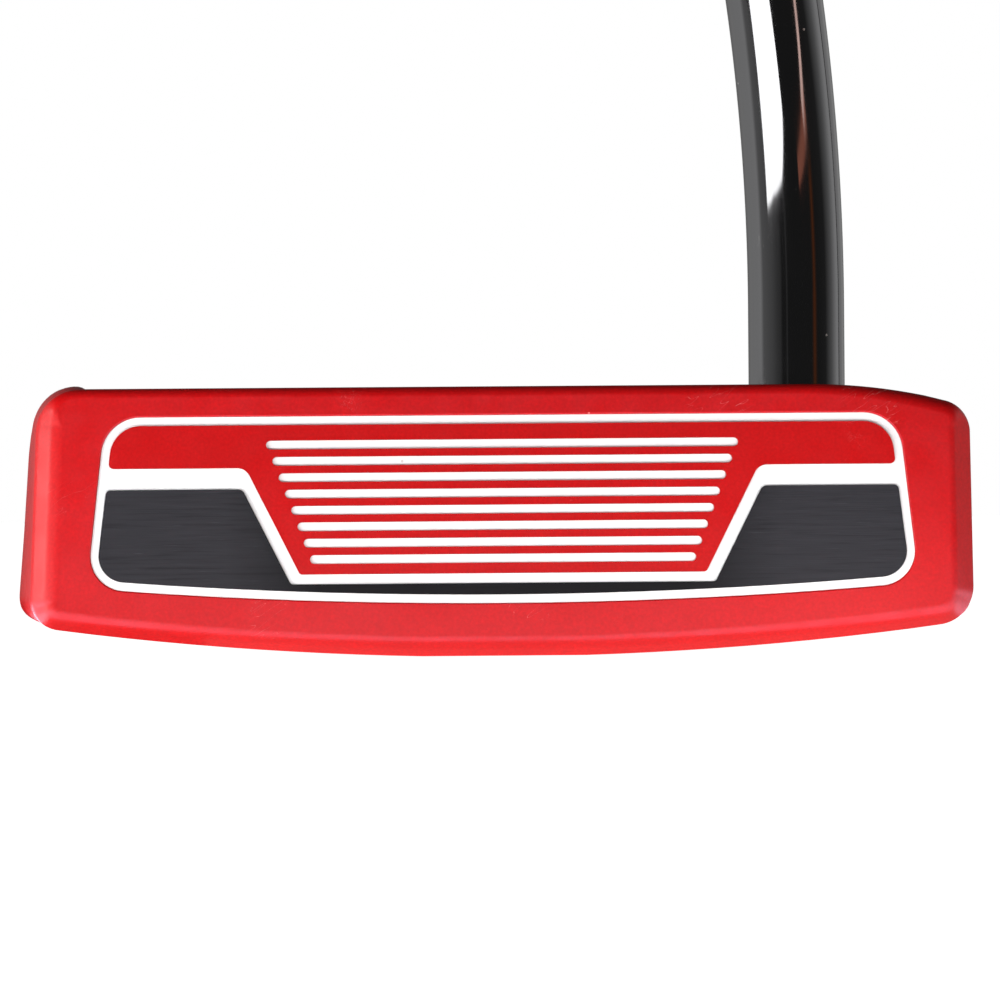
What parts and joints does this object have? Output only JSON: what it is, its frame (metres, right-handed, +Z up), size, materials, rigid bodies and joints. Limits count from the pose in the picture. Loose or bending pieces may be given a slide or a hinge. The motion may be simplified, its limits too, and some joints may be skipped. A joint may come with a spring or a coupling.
{
  "type": "mallet putter",
  "caption": "Right-handed mallet golf putter with a see-through winged head, layered face insert, double-bend steel shaft and pistol grip.",
  "frame": {"origin": "middle of the flat strip along the sole, 30 mm behind the foot of the face, under the head's balance point", "axes": "+Z up at address; the face looks along -Y; the toe is at -X and the heel, towards which the shaft leans, at +X"},
  "size_m": [0.3403, 0.0876, 0.8199],
  "materials": {
    "red_enamel": "satin",
    "red_plate": "satin",
    "brushed_black": "satin",
    "white_polymer": "satin",
    "adhesive_film": "matte",
    "weight_steel": "satin",
    "seal_rubber": "matte",
    "black_chrome": "polished",
    "epoxy": "gloss",
    "tip_plug": "matte",
    "band_film": "gloss",
    "grip_tape": "matte",
    "grip_rubber": "matte",
    "cap_plastic": "matte"
  },
  "bodies": {
    "root": {"head_body": "red_enamel", "insert_core": "white_polymer", "insert_film": "adhesive_film", "face_plate_red": "red_plate", "face_plate_black": "brushed_black", "deck_plate": "brushed_black", "sight_line_centre": "white_polymer", "sight_line_toe": "white_polymer", "sight_line_heel": "white_polymer", "toe_weight": "weight_steel", "heel_weight": "weight_steel", "toe_weight_seal": "seal_rubber", "heel_weight_seal": "seal_rubber", "shaft": "black_chrome", "shaft_bond": "epoxy", "shaft_tip_plug": "tip_plug", "shaft_band": "band_film", "grip_tape": "grip_tape", "grip": "grip_rubber", "grip_cap": "cap_plastic"}
  },
  "joints": []
}
